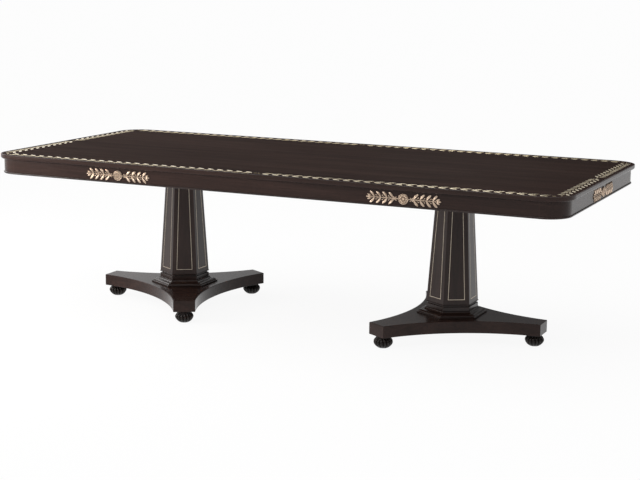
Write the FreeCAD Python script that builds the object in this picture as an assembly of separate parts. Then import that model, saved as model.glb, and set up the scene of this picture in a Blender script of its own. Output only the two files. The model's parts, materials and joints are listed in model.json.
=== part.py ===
import FreeCAD, Part
import math
import os
from FreeCAD import Vector

# Double pedestal extension dining table, in millimetres.
# X runs along the table, Y across it and Z up from the floor.
# The origin is on the floor under the middle of the table, where the two halves meet.
# Left means the half on the -X side, front means the -Y side.

# Overall sizes
table_length = 2743.0
table_width = 1219.0
table_height = 762.0
leaf_opening = 508.0
pedestal_offset = 694.0

# Top: a board with a crisp upper arris and a rounded lower edge, and a face veneer let into it
top_thickness = 22.0
top_corner_radius = 118.0
nose_round = 10.0
nose_limit_share = 0.5
arris_round = 2.0
arris_limit_share = 0.1
seam_gap = 0.4
veneer_thickness = 2.0
veneer_border = 4.0
veneer_clearance = 0.1

# Laurel border inlaid in the veneer
laurel_inset = 45.0
laurel_pitch = 45.5
laurel_centre_gap = 52.0
laurel_corner_margin = 11.0
laurel_leaf_length = 45.0
laurel_leaf_width = 14.0
laurel_leaf_angle = 27.0
laurel_stem_gap = 2.5
laurel_berry_radius = 3.0
laurel_berry_place = 27.0
laurel_bud_length = 18.0
laurel_bud_width = 8.0
laurel_centre_bud_length = 14.0
laurel_centre_bud_width = 7.0
laurel_centre_bud_place = 1.5
inlay_clearance = 0.1

# Apron under the top, with a bead along its lower edge
apron_setback = 16.0
apron_height = 68.0
apron_thickness = 20.0
bead_height = 9.0
bead_proud = 4.0

# Bearers and plate that join each pedestal to its half of the top
bearer_width = 60.0
bearer_height = 33.0
bearer_spread = 95.0
plate_length = 300.0
plate_width = 420.0

# Six-sided shaft of mitred staves, with a brass line let into each face
shaft_sides = 6
shaft_foot_radius = 117.0
shaft_head_radius = 82.7
stave_thickness = 20.0
line_width = 2.2
line_depth = 1.5
line_inset = 20.0
line_foot_margin = 21.0
line_head_margin = 32.0

# Block under the shaft: a lip, a recess and a plain die
lip_height = 4.0
lip_radius = 120.0
recess_height = 7.0
recess_radius = 110.0
die_height = 19.0
die_radius = 118.0

# Moulding on the base: a fillet and an ogee above it
ogee_height = 20.0
ogee_swell_share = 0.125
ogee_foot_radius = 153.0
ogee_head_radius = 122.0
fillet_height = 6.0
fillet_radius = 160.0

# Three-toed base with hollow sides
base_thickness = 54.0
base_chamfer = 1.5
toe_reach = 427.0
toe_width = 101.0
hollow_reach = 180.0
toe_count = 3

# Gadrooned feet
foot_height = 56.0
foot_place = 387.0
foot_radius = 43.0
foot_lobes = 16
foot_groove_share = 0.11
foot_neck_radius = 30.0
foot_neck_height = 8.0
foot_tenon_radius = 12.0
foot_tenon_length = 26.0
foot_tenon_clearance = 0.2
# Each pair is a share of the bun's height and a share of its radius
foot_outline_shares = [
    (0.0, 0.38), (0.08, 0.57), (0.18, 0.75), (0.32, 0.91), (0.46, 0.985),
    (0.58, 1.0), (0.74, 0.95), (0.88, 0.85), (1.0, 0.73),
]

# Tie rod that clamps base, shaft and plate together
rod_radius = 6.0
rod_clearance = 1.0
rod_overhang = 4.0
thread_clearance = 0.1
nut_height = 10.0
nut_radius = 11.0
washer_radius = 18.0
washer_height = 2.5
washer_well_radius = 21.0
washer_well_depth = 18.0

# Gilt mounts on the apron: a rosette between two laurel sprays
mount_back_height = 2.5
mount_leaf_height = 4.0
mount_stem_height = 5.0
rosette_radius = 22.5
rosette_petals = 10
petal_length = 14.0
petal_width = 7.0
rosette_petal_height = 2.5
rosette_boss_radius = 5.5
spray_length = 164.0
spray_stem_width = 4.0
spray_leaf_length = 31.0
spray_leaf_width = 11.5
spray_leaf_angle = 47.0
spray_leaf_tips = 4
spray_first_tip = 66.0
spray_last_tip = 149.0
spray_berry_radius = 2.6
spray_tip_length = 18.0
spray_tip_width = 7.0
spray_tip_angle = 42.0
spray_bow_length = 13.0
spray_bow_width = 5.5
spray_bow_angle = 48.0
mount_drop = 33.0
mount_from_pedestal = 10.0

# Geared slides: an outer runner on each half and a middle runner between them
runner_width = 26.0
runner_height = 30.0
runner_clearance = 0.4
runner_pad = 3.0
runner_pad_margin = 20.0
runner_reach = 400.0
runner_place = 250.0
tongue_depth = 6.0
tongue_root = 8.0
tongue_tip = 13.0
tie_width = 70.0
tie_thickness = 14.0
tie_gap = 1.0
tie_place_share = 0.66

# Racks under the outer runners and the pinions between them
gear_module = 2.5
pinion_teeth = 20
pressure_angle = 20.0
tooth_addendum_share = 0.9
tooth_root_share = 1.25
tooth_backlash = 0.3
flank_steps = 5
rack_height = 8.0
rack_back = 6.0
rack_margin = 40.0
pinion_gap = 0.5
pinion_pin_radius = 5.0
pinion_pin_length = 16.0
pinion_pin_head_radius = 8.0
pinion_pin_head_height = 3.0
running_clearance = 0.08

# Pins that line the halves up, and the swing hooks that hold them shut
seam_pin_radius = 4.0
seam_pin_length = 40.0
seam_pin_clearance = 0.5
# Places of the pins across the table, as shares of half its width
seam_pin_shares = (-0.78, -0.22, 0.22, 0.78)
hook_inset = 179.5
hook_reach = 65.0
hook_pivot_setback = 42.0
hook_thickness = 3.0
hook_arm_width = 14.0
hook_finger_width = 8.0
hook_gap = 1.0
hook_tail_angle = 15.0
hook_tip_angle = 8.0
hook_stud_radius = 4.0
hook_slot_clearance = 0.6
hook_head_radius = 8.0
hook_head_height = 3.0
hook_screw_depth = 12.0

# Screws and bolts
screw_radius = 2.5
screw_head_radius = 5.0
screw_head_height = 3.0
screw_bite = 11.0
bolt_radius = 4.0
bolt_head_radius = 7.0
bolt_head_height = 6.0
bolt_bite = 22.0
screw_clearance = 0.1
# Places of the bearer screws across the table, as shares of half its width
bearer_screw_shares = (-0.84, -0.52, 0.52, 0.84)
# Places of the runner screws, as shares of the runner's reach
runner_screw_shares = (0.2, 0.85)
# Places of the plate bolts, as shares of half the plate's width
plate_bolt_shares = (-0.75, 0.75)

# Heights and places that follow from the sizes above
half_length = table_length / 2
half_width = table_width / 2
top_underside = table_height - top_thickness
veneer_underside = table_height - veneer_thickness
nose_radius = min(nose_round, top_thickness * nose_limit_share)
arris_radius = min(arris_round, top_thickness * arris_limit_share)
seam_face = seam_gap / 2
apron_bottom = top_underside - apron_height
apron_half_length = half_length - apron_setback
apron_half_width = half_width - apron_setback
apron_corner_radius = top_corner_radius - apron_setback
corner_x = half_length - top_corner_radius
corner_y = half_width - top_corner_radius
laurel_reach = laurel_stem_gap + laurel_leaf_length * math.sin(math.radians(laurel_leaf_angle))
laurel_bend_radius = top_corner_radius - veneer_border - laurel_corner_margin
laurel_line_radius = top_corner_radius - laurel_inset + laurel_reach
laurel_past_bend = math.sqrt(max(0, laurel_bend_radius ** 2 - laurel_line_radius ** 2))
laurel_corner_gap = top_corner_radius - laurel_past_bend
bearer_bottom = top_underside - bearer_height
plate_bottom = apron_bottom
plate_top = bearer_bottom
base_bottom = foot_height
base_top = base_bottom + base_thickness
fillet_top = base_top + fillet_height
ogee_top = fillet_top + ogee_height
die_top = ogee_top + die_height
recess_top = die_top + recess_height
shaft_bottom = recess_top + lip_height
shaft_top = plate_bottom
mount_height = top_underside - mount_drop
mount_offset = pedestal_offset - mount_from_pedestal
runner_top = top_underside - runner_pad
runner_bottom = runner_top - runner_height
runner_step = runner_width + runner_clearance
runner_past_seam = leaf_opening / 2 + rack_margin
rack_bottom = runner_bottom - rack_height
tie_top = rack_bottom - tie_gap
pitch_radius = gear_module * pinion_teeth / 2
tooth_pitch = math.pi * gear_module
addendum = gear_module * tooth_addendum_share
dedendum = gear_module * tooth_root_share
hook_top = top_underside - hook_gap
hook_bottom = hook_top - hook_thickness
hook_place = half_width - hook_inset
stud_x = hook_reach - hook_pivot_setback

UP = Vector(0, 0, 1)
ORIGIN = Vector(0, 0, 0)
LENGTHWISE = Vector(1, 0, 0)
CROSSWISE = Vector(0, 1, 0)


# Shapes that several pieces use

def box(low, high):
    size = high - low
    return Part.makeBox(size.x, size.y, size.z, low)


def rod(radius, low, high, x, y):
    return Part.makeCylinder(radius, high - low, Vector(x, y, low))


def polygon_face(points):
    return Part.Face(Part.makePolygon(list(points) + [points[0]]))


def lens_wire(length, width, angle, x, y, z):
    """Pointed leaf outline that starts at x, y and grows towards the angle."""
    tip = Vector(length, 0, 0)
    upper = Part.Arc(ORIGIN, Vector(length / 2, width / 2, 0), tip)
    lower = Part.Arc(tip, Vector(length / 2, -width / 2, 0), ORIGIN)
    wire = Part.Wire([upper.toShape(), lower.toShape()])
    wire.rotate(ORIGIN, UP, angle)
    wire.translate(Vector(x, y, z))
    return wire


def lens(length, width, angle, x, y, z, height):
    return Part.Face(lens_wire(length, width, angle, x, y, z)).extrude(UP * height)


def regular_face(radius, z):
    """Six-sided outline with its flats facing the toes."""
    turn = 2 * math.pi / shaft_sides
    corners = []
    for corner in range(shaft_sides):
        angle = (corner + 0.5) * turn
        corners.append(Vector(radius * math.cos(angle), radius * math.sin(angle), z))
    return polygon_face(corners)


def regular_block(radius, low, high):
    return regular_face(radius, low).extrude(UP * (high - low))


def half_outline(length, width, radius, z):
    """Plan of a left half: straight at the seam, rounded at its two outer corners."""
    seam = -seam_face
    bend = radius * (1 - math.sqrt(0.5))
    front_seam = Vector(seam, -width, z)
    front_bend = Vector(radius - length, -width, z)
    front_mid = Vector(bend - length, bend - width, z)
    front_end = Vector(-length, radius - width, z)
    back_end = Vector(-length, width - radius, z)
    back_mid = Vector(bend - length, width - bend, z)
    back_bend = Vector(radius - length, width, z)
    back_seam = Vector(seam, width, z)
    edges = [
        Part.makeLine(front_seam, front_bend),
        Part.Arc(front_bend, front_mid, front_end).toShape(),
        Part.makeLine(front_end, back_end),
        Part.Arc(back_end, back_mid, back_bend).toShape(),
        Part.makeLine(back_bend, back_seam),
        Part.makeLine(back_seam, front_seam),
    ]
    return Part.Wire(edges)


def mirrored(shape):
    """The right-hand twin of a left-hand piece."""
    return shape.mirror(ORIGIN, LENGTHWISE)


def to_back(shape):
    """The back twin of a front piece."""
    return shape.mirror(ORIGIN, CROSSWISE)


def front_and_back(shape):
    return Part.makeCompound([shape, to_back(shape)])


# Fasteners of a left half, and the holes that they need

def bearer_screw_places():
    places = []
    for side in (-1, 1):
        for share in bearer_screw_shares:
            places.append((side * bearer_spread - pedestal_offset, share * half_width))
    return places


def plate_bolt_places():
    places = []
    for side in (-1, 1):
        for share in plate_bolt_shares:
            places.append((side * bearer_spread - pedestal_offset, share * plate_width / 2))
    return places


def runner_screw_places(line):
    places = []
    for share in runner_screw_shares:
        for side in (-1, 1):
            places.append((-share * runner_reach, side * line))
    return places


def headed_pin(radius, low, high, head_size, place):
    """Upright pin with a round head below it; head_size is the head's radius and height."""
    head_radius, head_height = head_size
    shank = rod(radius, low, high, *place)
    head = rod(head_radius, low - head_height, low, *place)
    return shank.fuse(head).removeSplitter()


def pin_holes(radius, low, high, places):
    return [rod(radius + screw_clearance, low, high, *place) for place in places]


def frame_screws(runner_line):
    screws = []
    screw_head = (screw_head_radius, screw_head_height)
    bolt_head = (bolt_head_radius, bolt_head_height)
    screw_end = top_underside + screw_bite
    for place in bearer_screw_places():
        screws.append(headed_pin(screw_radius, bearer_bottom, screw_end, screw_head, place))
    for place in plate_bolt_places():
        low = plate_bottom + bolt_head_height
        high = bearer_bottom + bolt_bite
        screws.append(headed_pin(bolt_radius, low, high, bolt_head, place))
    for place in runner_screw_places(runner_line):
        low = runner_bottom + screw_head_height
        screws.append(headed_pin(screw_radius, low, screw_end, screw_head, place))
    return Part.makeCompound(screws)


# Top board, veneer and inlay

def outer_edges(shape):
    """Edges around the rim of a half, without those on the seam."""
    edges = []
    for edge in shape.Edges:
        on_seam = edge.BoundBox.XMin > -seam_gap
        upright = edge.BoundBox.ZLength > top_thickness / 2
        if not on_seam and not upright:
            edges.append(edge)
    return edges


def veneer_outline(border):
    radius = top_corner_radius - border
    return half_outline(half_length - border, half_width - border, radius, veneer_underside)


def top_panel(runner_line):
    board = Part.Face(half_outline(half_length, half_width, top_corner_radius, top_underside))
    board = board.extrude(UP * top_thickness)
    middle = (top_underside + table_height) / 2
    upper = [edge for edge in outer_edges(board) if edge.BoundBox.ZMin > middle]
    board = board.makeFillet(arris_radius, upper)
    lower = [edge for edge in outer_edges(board) if edge.BoundBox.ZMax < middle]
    board = board.makeFillet(nose_radius, lower)
    cuts = [Part.Face(veneer_outline(veneer_border)).extrude(UP * veneer_thickness)]
    screw_end = top_underside + screw_bite
    cuts += pin_holes(screw_radius, top_underside, screw_end, bearer_screw_places())
    cuts += pin_holes(screw_radius, top_underside, screw_end, runner_screw_places(runner_line))
    return board.cut(Part.makeCompound(cuts))


def laurel_run(run_length):
    """Places of the leaf pairs along one run, from the middle of a side to its corner."""
    room = run_length - laurel_centre_gap / 2 - laurel_corner_gap
    pairs = int(room / laurel_pitch)
    step = room / pairs
    return [laurel_centre_gap / 2 + step * pair for pair in range(pairs)]


def laurel_wires(run_length, grow):
    """Leaf, berry and bud outlines of one run along +X from its start, widened by grow all round."""
    wires = []
    turn = math.radians(laurel_leaf_angle)
    for place in laurel_run(run_length):
        for side in (-1, 1):
            x = place - grow * math.cos(turn)
            y = side * (laurel_stem_gap - grow * math.sin(turn))
            length = laurel_leaf_length + 2 * grow
            width = laurel_leaf_width + 2 * grow
            wires.append(lens_wire(length, width, side * laurel_leaf_angle, x, y, veneer_underside))
        centre = Vector(place + laurel_berry_place, 0, veneer_underside)
        wires.append(Part.Wire(Part.makeCircle(laurel_berry_radius + grow, centre)))
    corner_bud_place = run_length - laurel_corner_gap + laurel_stem_gap
    buds = [
        (laurel_bud_length, laurel_bud_width, corner_bud_place),
        (laurel_centre_bud_length, laurel_centre_bud_width, laurel_centre_bud_place),
    ]
    for length, width, place in buds:
        bud = lens_wire(length + 2 * grow, width + 2 * grow, 0, place - grow, 0, veneer_underside)
        wires.append(bud)
    return wires


def laurel_border(grow):
    """All outlines of a left half: front and back runs, and two runs on the end."""
    wires = []
    line_y = half_width - laurel_inset
    line_x = half_length - laurel_inset
    for side in (-1, 1):
        for wire in laurel_wires(half_length, grow):
            wire.rotate(ORIGIN, UP, 180)
            wire.translate(Vector(0, side * line_y, 0))
            wires.append(wire)
        for wire in laurel_wires(half_width, grow):
            wire.rotate(ORIGIN, UP, side * 90)
            wire.translate(Vector(-line_x, 0, 0))
            wires.append(wire)
    return wires


def top_veneer():
    outline = veneer_outline(veneer_border + veneer_clearance)
    sheet = Part.makeFace([outline] + laurel_border(inlay_clearance), "Part::FaceMakerBullseye")
    return sheet.extrude(UP * veneer_thickness)


def border_leaves():
    leaves = [Part.Face(wire).extrude(UP * veneer_thickness) for wire in laurel_border(0)]
    return Part.makeCompound(leaves)


# Apron and bead

def front_apron():
    low = Vector(-corner_x, -apron_half_width, apron_bottom)
    high = Vector(-seam_face, apron_thickness - apron_half_width, top_underside)
    return box(low, high)


def end_apron():
    low = Vector(-apron_half_length, -corner_y, apron_bottom)
    high = Vector(apron_thickness - apron_half_length, corner_y, top_underside)
    return box(low, high)


def corner_aprons():
    centre = Vector(-corner_x, -corner_y, apron_bottom)
    outside = Part.makeCylinder(apron_corner_radius, apron_height, centre, UP, 90)
    inside = Part.makeCylinder(apron_corner_radius - apron_thickness, apron_height, centre, UP, 90)
    corner = outside.cut(inside)
    corner.rotate(centre, UP, 180)
    return front_and_back(corner)


def bead_profile(radius, angle):
    """Half-round bead section on a face at this distance from the origin, turned about Z."""
    low = Vector(radius, 0, apron_bottom)
    high = Vector(radius, 0, apron_bottom + bead_height)
    nose = Vector(radius + bead_proud, 0, apron_bottom + bead_height / 2)
    face = Part.Face(Part.Wire([Part.Arc(low, nose, high).toShape(), Part.makeLine(high, low)]))
    face.rotate(ORIGIN, UP, angle)
    return face


def apron_bead():
    front = bead_profile(apron_half_width, -90)
    front.translate(Vector(-seam_face, 0, 0))
    front = front.extrude(Vector(seam_face - corner_x, 0, 0))
    corner = bead_profile(apron_corner_radius, 180).revolve(ORIGIN, UP, 90)
    corner.translate(Vector(-corner_x, -corner_y, 0))
    end = bead_profile(apron_half_length, 180)
    end.translate(Vector(0, -corner_y, 0))
    end = end.extrude(CROSSWISE * (2 * corner_y))
    return Part.makeCompound([front, corner, end, to_back(corner), to_back(front)])


# Bearers and pedestal plate

def bearers():
    reach = apron_half_width - apron_thickness
    screw_holes = pin_holes(screw_radius, bearer_bottom, top_underside, bearer_screw_places())
    bolt_holes = pin_holes(bolt_radius, bearer_bottom, bearer_bottom + bolt_bite, plate_bolt_places())
    holes = Part.makeCompound(screw_holes + bolt_holes)
    pair = []
    for side in (-1, 1):
        middle = side * bearer_spread - pedestal_offset
        low = Vector(middle - bearer_width / 2, -reach, bearer_bottom)
        high = Vector(middle + bearer_width / 2, reach, top_underside)
        pair.append(box(low, high).cut(holes))
    return Part.makeCompound(pair)


def pedestal_plate():
    low = Vector(-plate_length / 2 - pedestal_offset, -plate_width / 2, plate_bottom)
    high = Vector(plate_length / 2 - pedestal_offset, plate_width / 2, plate_top)
    places = plate_bolt_places()
    cuts = pin_holes(bolt_radius, plate_bottom, plate_top, places)
    cuts += pin_holes(bolt_head_radius, plate_bottom, plate_bottom + bolt_head_height, places)
    cuts.append(rod(rod_radius + rod_clearance, plate_bottom, plate_top, -pedestal_offset, 0))
    return box(low, high).cut(Part.makeCompound(cuts))


# Pedestal, built around the Z axis and then set under its half

def on_left(shape):
    shape.translate(Vector(-pedestal_offset, 0, 0))
    return shape


def shaft_radius(z):
    share = (z - shaft_bottom) / (shaft_top - shaft_bottom)
    return shaft_foot_radius + share * (shaft_head_radius - shaft_foot_radius)


def stave_section(z):
    half_turn = math.pi / shaft_sides
    outer = shaft_radius(z)
    inner = outer - stave_thickness / math.cos(half_turn)
    across = math.sin(half_turn)
    along = math.cos(half_turn)
    corners = [(outer, -1), (outer, 1), (inner, 1), (inner, -1)]
    points = [Vector(radius * along, side * radius * across, z) for radius, side in corners]
    return Part.makePolygon(points + [points[0]])


def line_corners(inset):
    """Corners of the brass line's outline on the +X face, set in by this much."""
    half_turn = math.pi / shaft_sides
    foot = shaft_bottom + line_foot_margin + inset
    head = shaft_top - line_head_margin - inset
    points = []
    for z, side in ((foot, -1), (foot, 1), (head, 1), (head, -1)):
        radius = shaft_radius(z)
        across = radius * math.sin(half_turn) - line_inset - inset
        points.append(Vector(radius * math.cos(half_turn), side * across, z))
    return points


def face_line():
    outer = line_corners(0)
    inner = line_corners(line_width)
    into_face = (outer[3] - outer[0]).cross(outer[1] - outer[0]).normalize()
    outlines = [Part.makePolygon(corners + [corners[0]]) for corners in (outer, inner)]
    return Part.makeFace(outlines, "Part::FaceMakerBullseye").extrude(into_face * line_depth)


def around_shaft(piece):
    ring = []
    for side in range(shaft_sides):
        turned = piece.copy()
        turned.rotate(ORIGIN, UP, 360 * side / shaft_sides)
        ring.append(turned)
    return on_left(Part.makeCompound(ring))


def shaft_staves():
    stave = Part.makeLoft([stave_section(shaft_bottom), stave_section(shaft_top)], True, True)
    return around_shaft(stave.cut(face_line()))


def shaft_lines():
    return around_shaft(face_line())


def rod_hole(low, high):
    return rod(rod_radius + rod_clearance, low, high, 0, 0)


def shaft_block():
    die = regular_block(die_radius, ogee_top, die_top)
    recess = regular_block(recess_radius, die_top, recess_top)
    lip = regular_block(lip_radius, recess_top, shaft_bottom)
    return on_left(die.fuse([recess, lip]).cut(rod_hole(ogee_top, shaft_bottom)))


def ogee_slice():
    """The moulding's profile from side to side, drawn as if it ran on past the corners."""
    flat = math.cos(math.pi / shaft_sides)
    foot = ogee_foot_radius * flat
    head = ogee_head_radius * flat
    edge = fillet_radius * flat
    waist = (foot + head) / 2
    middle = (fillet_top + ogee_top) / 2
    swell = ogee_swell_share * ogee_height

    def sided(side):
        low = Vector(side * foot, 0, fillet_top)
        mid = Vector(side * waist, 0, middle)
        high = Vector(side * head, 0, ogee_top)
        low_bulge = Vector(side * ((foot + waist) / 2 + swell), 0, (fillet_top + middle) / 2 + swell)
        high_bulge = Vector(side * ((waist + head) / 2 - swell), 0, (middle + ogee_top) / 2 - swell)
        return low, low_bulge, mid, high_bulge, high

    low, low_bulge, mid, high_bulge, high = sided(1)
    far_low, far_low_bulge, far_mid, far_high_bulge, far_high = sided(-1)
    edge_foot = Vector(edge, 0, base_top)
    edge_head = Vector(edge, 0, fillet_top)
    far_edge_foot = Vector(-edge, 0, base_top)
    far_edge_head = Vector(-edge, 0, fillet_top)
    edges = [
        Part.makeLine(far_edge_foot, edge_foot),
        Part.makeLine(edge_foot, edge_head),
        Part.makeLine(edge_head, low),
        Part.Arc(low, low_bulge, mid).toShape(),
        Part.Arc(mid, high_bulge, high).toShape(),
        Part.makeLine(high, far_high),
        Part.Arc(far_high, far_high_bulge, far_mid).toShape(),
        Part.Arc(far_mid, far_low_bulge, far_low).toShape(),
        Part.makeLine(far_low, far_edge_head),
        Part.makeLine(far_edge_head, far_edge_foot),
    ]
    slab = Part.Face(Part.Wire(edges))
    slab.translate(Vector(0, -fillet_radius, 0))
    return slab.extrude(CROSSWISE * (2 * fillet_radius))


def ogee_moulding():
    moulding = ogee_slice()
    for turn in (1, 2):
        other = ogee_slice()
        other.rotate(ORIGIN, UP, 360 * turn / shaft_sides)
        moulding = moulding.common(other)
    return on_left(moulding.cut(rod_hole(base_top, ogee_top)))


def toe_angles():
    return [180 + 360 * toe / toe_count for toe in range(toe_count)]


def turned_point(x, y, angle, z):
    turn = math.radians(angle)
    return Vector(x * math.cos(turn) - y * math.sin(turn), x * math.sin(turn) + y * math.cos(turn), z)


def base_plate():
    edges = []
    step = 360 / toe_count
    for angle in toe_angles():
        first = turned_point(toe_reach, -toe_width / 2, angle, base_bottom)
        second = turned_point(toe_reach, toe_width / 2, angle, base_bottom)
        hollow = turned_point(hollow_reach, 0, angle + step / 2, base_bottom)
        third = turned_point(toe_reach, -toe_width / 2, angle + step, base_bottom)
        edges.append(Part.makeLine(first, second))
        edges.append(Part.Arc(second, hollow, third).toShape())
    plate = Part.Face(Part.Wire(edges)).extrude(UP * base_thickness)
    rim = [edge for edge in plate.Edges if edge.BoundBox.ZLength < base_chamfer]
    plate = plate.makeChamfer(base_chamfer, rim)
    cuts = [rod_hole(base_bottom, base_top)]
    cuts.append(rod(washer_well_radius, base_bottom, base_bottom + washer_well_depth, 0, 0))
    for angle in toe_angles():
        place = turned_point(foot_place, 0, angle, 0)
        socket_radius = foot_tenon_radius + foot_tenon_clearance
        cuts.append(rod(socket_radius, base_bottom, base_bottom + foot_tenon_length, place.x, place.y))
    return on_left(plate.cut(Part.makeCompound(cuts)))


def foot_section(height, radius):
    """Ring of lobes: one arc each, meeting in a groove."""
    arcs = []
    step = 360 / foot_lobes
    groove = radius * (1 - foot_groove_share)
    for lobe in range(foot_lobes):
        start = turned_point(groove, 0, lobe * step, height)
        crown = turned_point(radius, 0, (lobe + 0.5) * step, height)
        end = turned_point(groove, 0, (lobe + 1) * step, height)
        arcs.append(Part.Arc(start, crown, end).toShape())
    return Part.Wire(arcs)


def foot():
    bun_height = foot_height - foot_neck_height
    sections = [foot_section(up * bun_height, out * foot_radius) for up, out in foot_outline_shares]
    bun = Part.makeLoft(sections, True, False)
    neck = rod(foot_neck_radius, bun_height, foot_height, 0, 0)
    tenon = rod(foot_tenon_radius, foot_height, foot_height + foot_tenon_length, 0, 0)
    return bun.fuse([neck, tenon])


def placed_foot(bare_foot, angle):
    piece = bare_foot.copy()
    piece.rotate(ORIGIN, UP, angle)
    place = turned_point(foot_place, 0, angle, 0)
    piece.translate(place)
    return on_left(piece)


def nut_and_washer(low, washer_below):
    nut_low = low + washer_height if washer_below else low
    washer_low = low if washer_below else low + nut_height
    bore = rod_radius + thread_clearance
    nut = regular_block(nut_radius, nut_low, nut_low + nut_height)
    nut = nut.cut(rod(bore, nut_low, nut_low + nut_height, 0, 0))
    washer = rod(washer_radius, washer_low, washer_low + washer_height, 0, 0)
    washer = washer.cut(rod(bore, washer_low, washer_low + washer_height, 0, 0))
    return [nut, washer]


def tie_rod_set():
    well_top = base_bottom + washer_well_depth
    lower = nut_and_washer(well_top - washer_height - nut_height, False)
    upper = nut_and_washer(plate_top, True)
    rod_low = well_top - washer_height - nut_height - rod_overhang
    rod_high = plate_top + washer_height + nut_height + rod_overhang
    return on_left(Part.makeCompound([rod(rod_radius, rod_low, rod_high, 0, 0)] + lower + upper))


# Gilt mounts, drawn flat in X and Y with their backs on Z = 0

def rosette():
    disc = Part.makeCylinder(rosette_radius, mount_back_height)
    pieces = []
    for petal in range(rosette_petals):
        angle = 360 * petal / rosette_petals
        start = turned_point(rosette_boss_radius, 0, angle, mount_back_height)
        pieces.append(lens(petal_length, petal_width, angle, start.x, start.y, start.z, rosette_petal_height))
    pieces.append(Part.makeSphere(rosette_boss_radius, Vector(0, 0, mount_back_height), UP, 0, 90, 360))
    return disc.fuse(pieces)


def spray():
    """Laurel spray along +X: a stem, leaf pairs, berries, a bow and a three-leaf tip."""
    turn = math.radians(spray_leaf_angle)
    tip_start = spray_length - spray_tip_length
    stem_low = Vector(rosette_radius, -spray_stem_width / 2, 0)
    stem_high = Vector(tip_start + spray_stem_width, spray_stem_width / 2, mount_stem_height)
    pieces = []
    step = (spray_last_tip - spray_first_tip) / (spray_leaf_tips - 1)
    for pair in range(spray_leaf_tips):
        root = spray_first_tip + step * pair - spray_leaf_length * math.cos(turn)
        berry_x = root + spray_leaf_length * math.cos(turn) / 2 + spray_stem_width
        for side in (-1, 1):
            angle = side * spray_leaf_angle
            pieces.append(lens(spray_leaf_length, spray_leaf_width, angle, root, 0, 0, mount_leaf_height))
            berry_y = side * (spray_stem_width / 2 + spray_berry_radius / 2)
            pieces.append(rod(spray_berry_radius, 0, mount_leaf_height, berry_x, berry_y))
    for angle in (-spray_tip_angle, 0, spray_tip_angle):
        pieces.append(lens(spray_tip_length, spray_tip_width, angle, tip_start, 0, 0, mount_leaf_height))
    bow_middle = rosette_radius + spray_bow_length
    for angle in (spray_bow_angle, 180 - spray_bow_angle, 180 + spray_bow_angle, -spray_bow_angle):
        pieces.append(lens(spray_bow_length, spray_bow_width, angle, bow_middle, 0, 0, mount_leaf_height))
    return box(stem_low, stem_high).fuse(pieces)


def flat_mount():
    right = spray()
    left = right.mirror(ORIGIN, LENGTHWISE)
    return Part.makeCompound([rosette(), left, right])


def front_mount(bare_mount):
    mount = bare_mount.copy()
    mount.rotate(ORIGIN, LENGTHWISE, 90)
    mount.translate(Vector(-mount_offset, -apron_half_width, mount_height))
    return mount


def end_mount(bare_mount):
    mount = bare_mount.copy()
    mount.rotate(ORIGIN, LENGTHWISE, 90)
    mount.rotate(ORIGIN, UP, -90)
    mount.translate(Vector(-apron_half_length, 0, mount_height))
    return mount


# Slides

def dovetail(face_y, toward, grow):
    """Section of a dovetail tongue that stands on a runner's face, in Y and Z."""
    middle = (runner_bottom + runner_top) / 2
    root = tongue_root / 2 + grow
    tip = tongue_tip / 2 + grow
    tip_y = face_y + toward * (tongue_depth + grow)
    points = [
        Vector(0, face_y, middle - root),
        Vector(0, tip_y, middle - tip),
        Vector(0, tip_y, middle + tip),
        Vector(0, face_y, middle + root),
    ]
    return polygon_face(points)


def middle_runner(line):
    reach = runner_past_seam
    low = Vector(-reach, line - runner_width / 2, runner_bottom)
    high = Vector(reach, line + runner_width / 2, runner_top)
    runner = box(low, high)
    for toward in (-1, 1):
        tongue = dovetail(line + toward * runner_width / 2, toward, 0)
        tongue.translate(Vector(-reach, 0, 0))
        runner = runner.fuse(tongue.extrude(LENGTHWISE * (2 * reach)))
    pin_hole = rod(pinion_pin_radius, runner_bottom, runner_bottom + pinion_pin_length, 0, line)
    return runner.removeSplitter().cut(pin_hole)


def outer_runner(line, toward):
    """Left runner at this line, grooved on the side towards the middle runner."""
    low = Vector(-runner_reach, line - runner_width / 2, runner_bottom)
    high = Vector(runner_past_seam, line + runner_width / 2, runner_top)
    pad_low = Vector(-runner_reach, line - runner_width / 2, runner_top)
    pad_high = Vector(-runner_pad_margin, line + runner_width / 2, top_underside)
    runner = box(low, high).fuse(box(pad_low, pad_high)).removeSplitter()
    mouth = line + toward * (runner_width / 2 + runner_clearance)
    groove = dovetail(mouth, -toward, runner_clearance)
    groove.translate(Vector(-runner_reach, 0, 0))
    groove = groove.extrude(LENGTHWISE * (runner_reach + runner_past_seam))
    places = [(-share * runner_reach, line) for share in runner_screw_shares]
    holes = pin_holes(screw_radius, runner_bottom, top_underside, places)
    holes += pin_holes(screw_head_radius, runner_bottom, runner_bottom + screw_head_height, places)
    return runner.cut(groove).cut(Part.makeCompound(holes))


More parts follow.
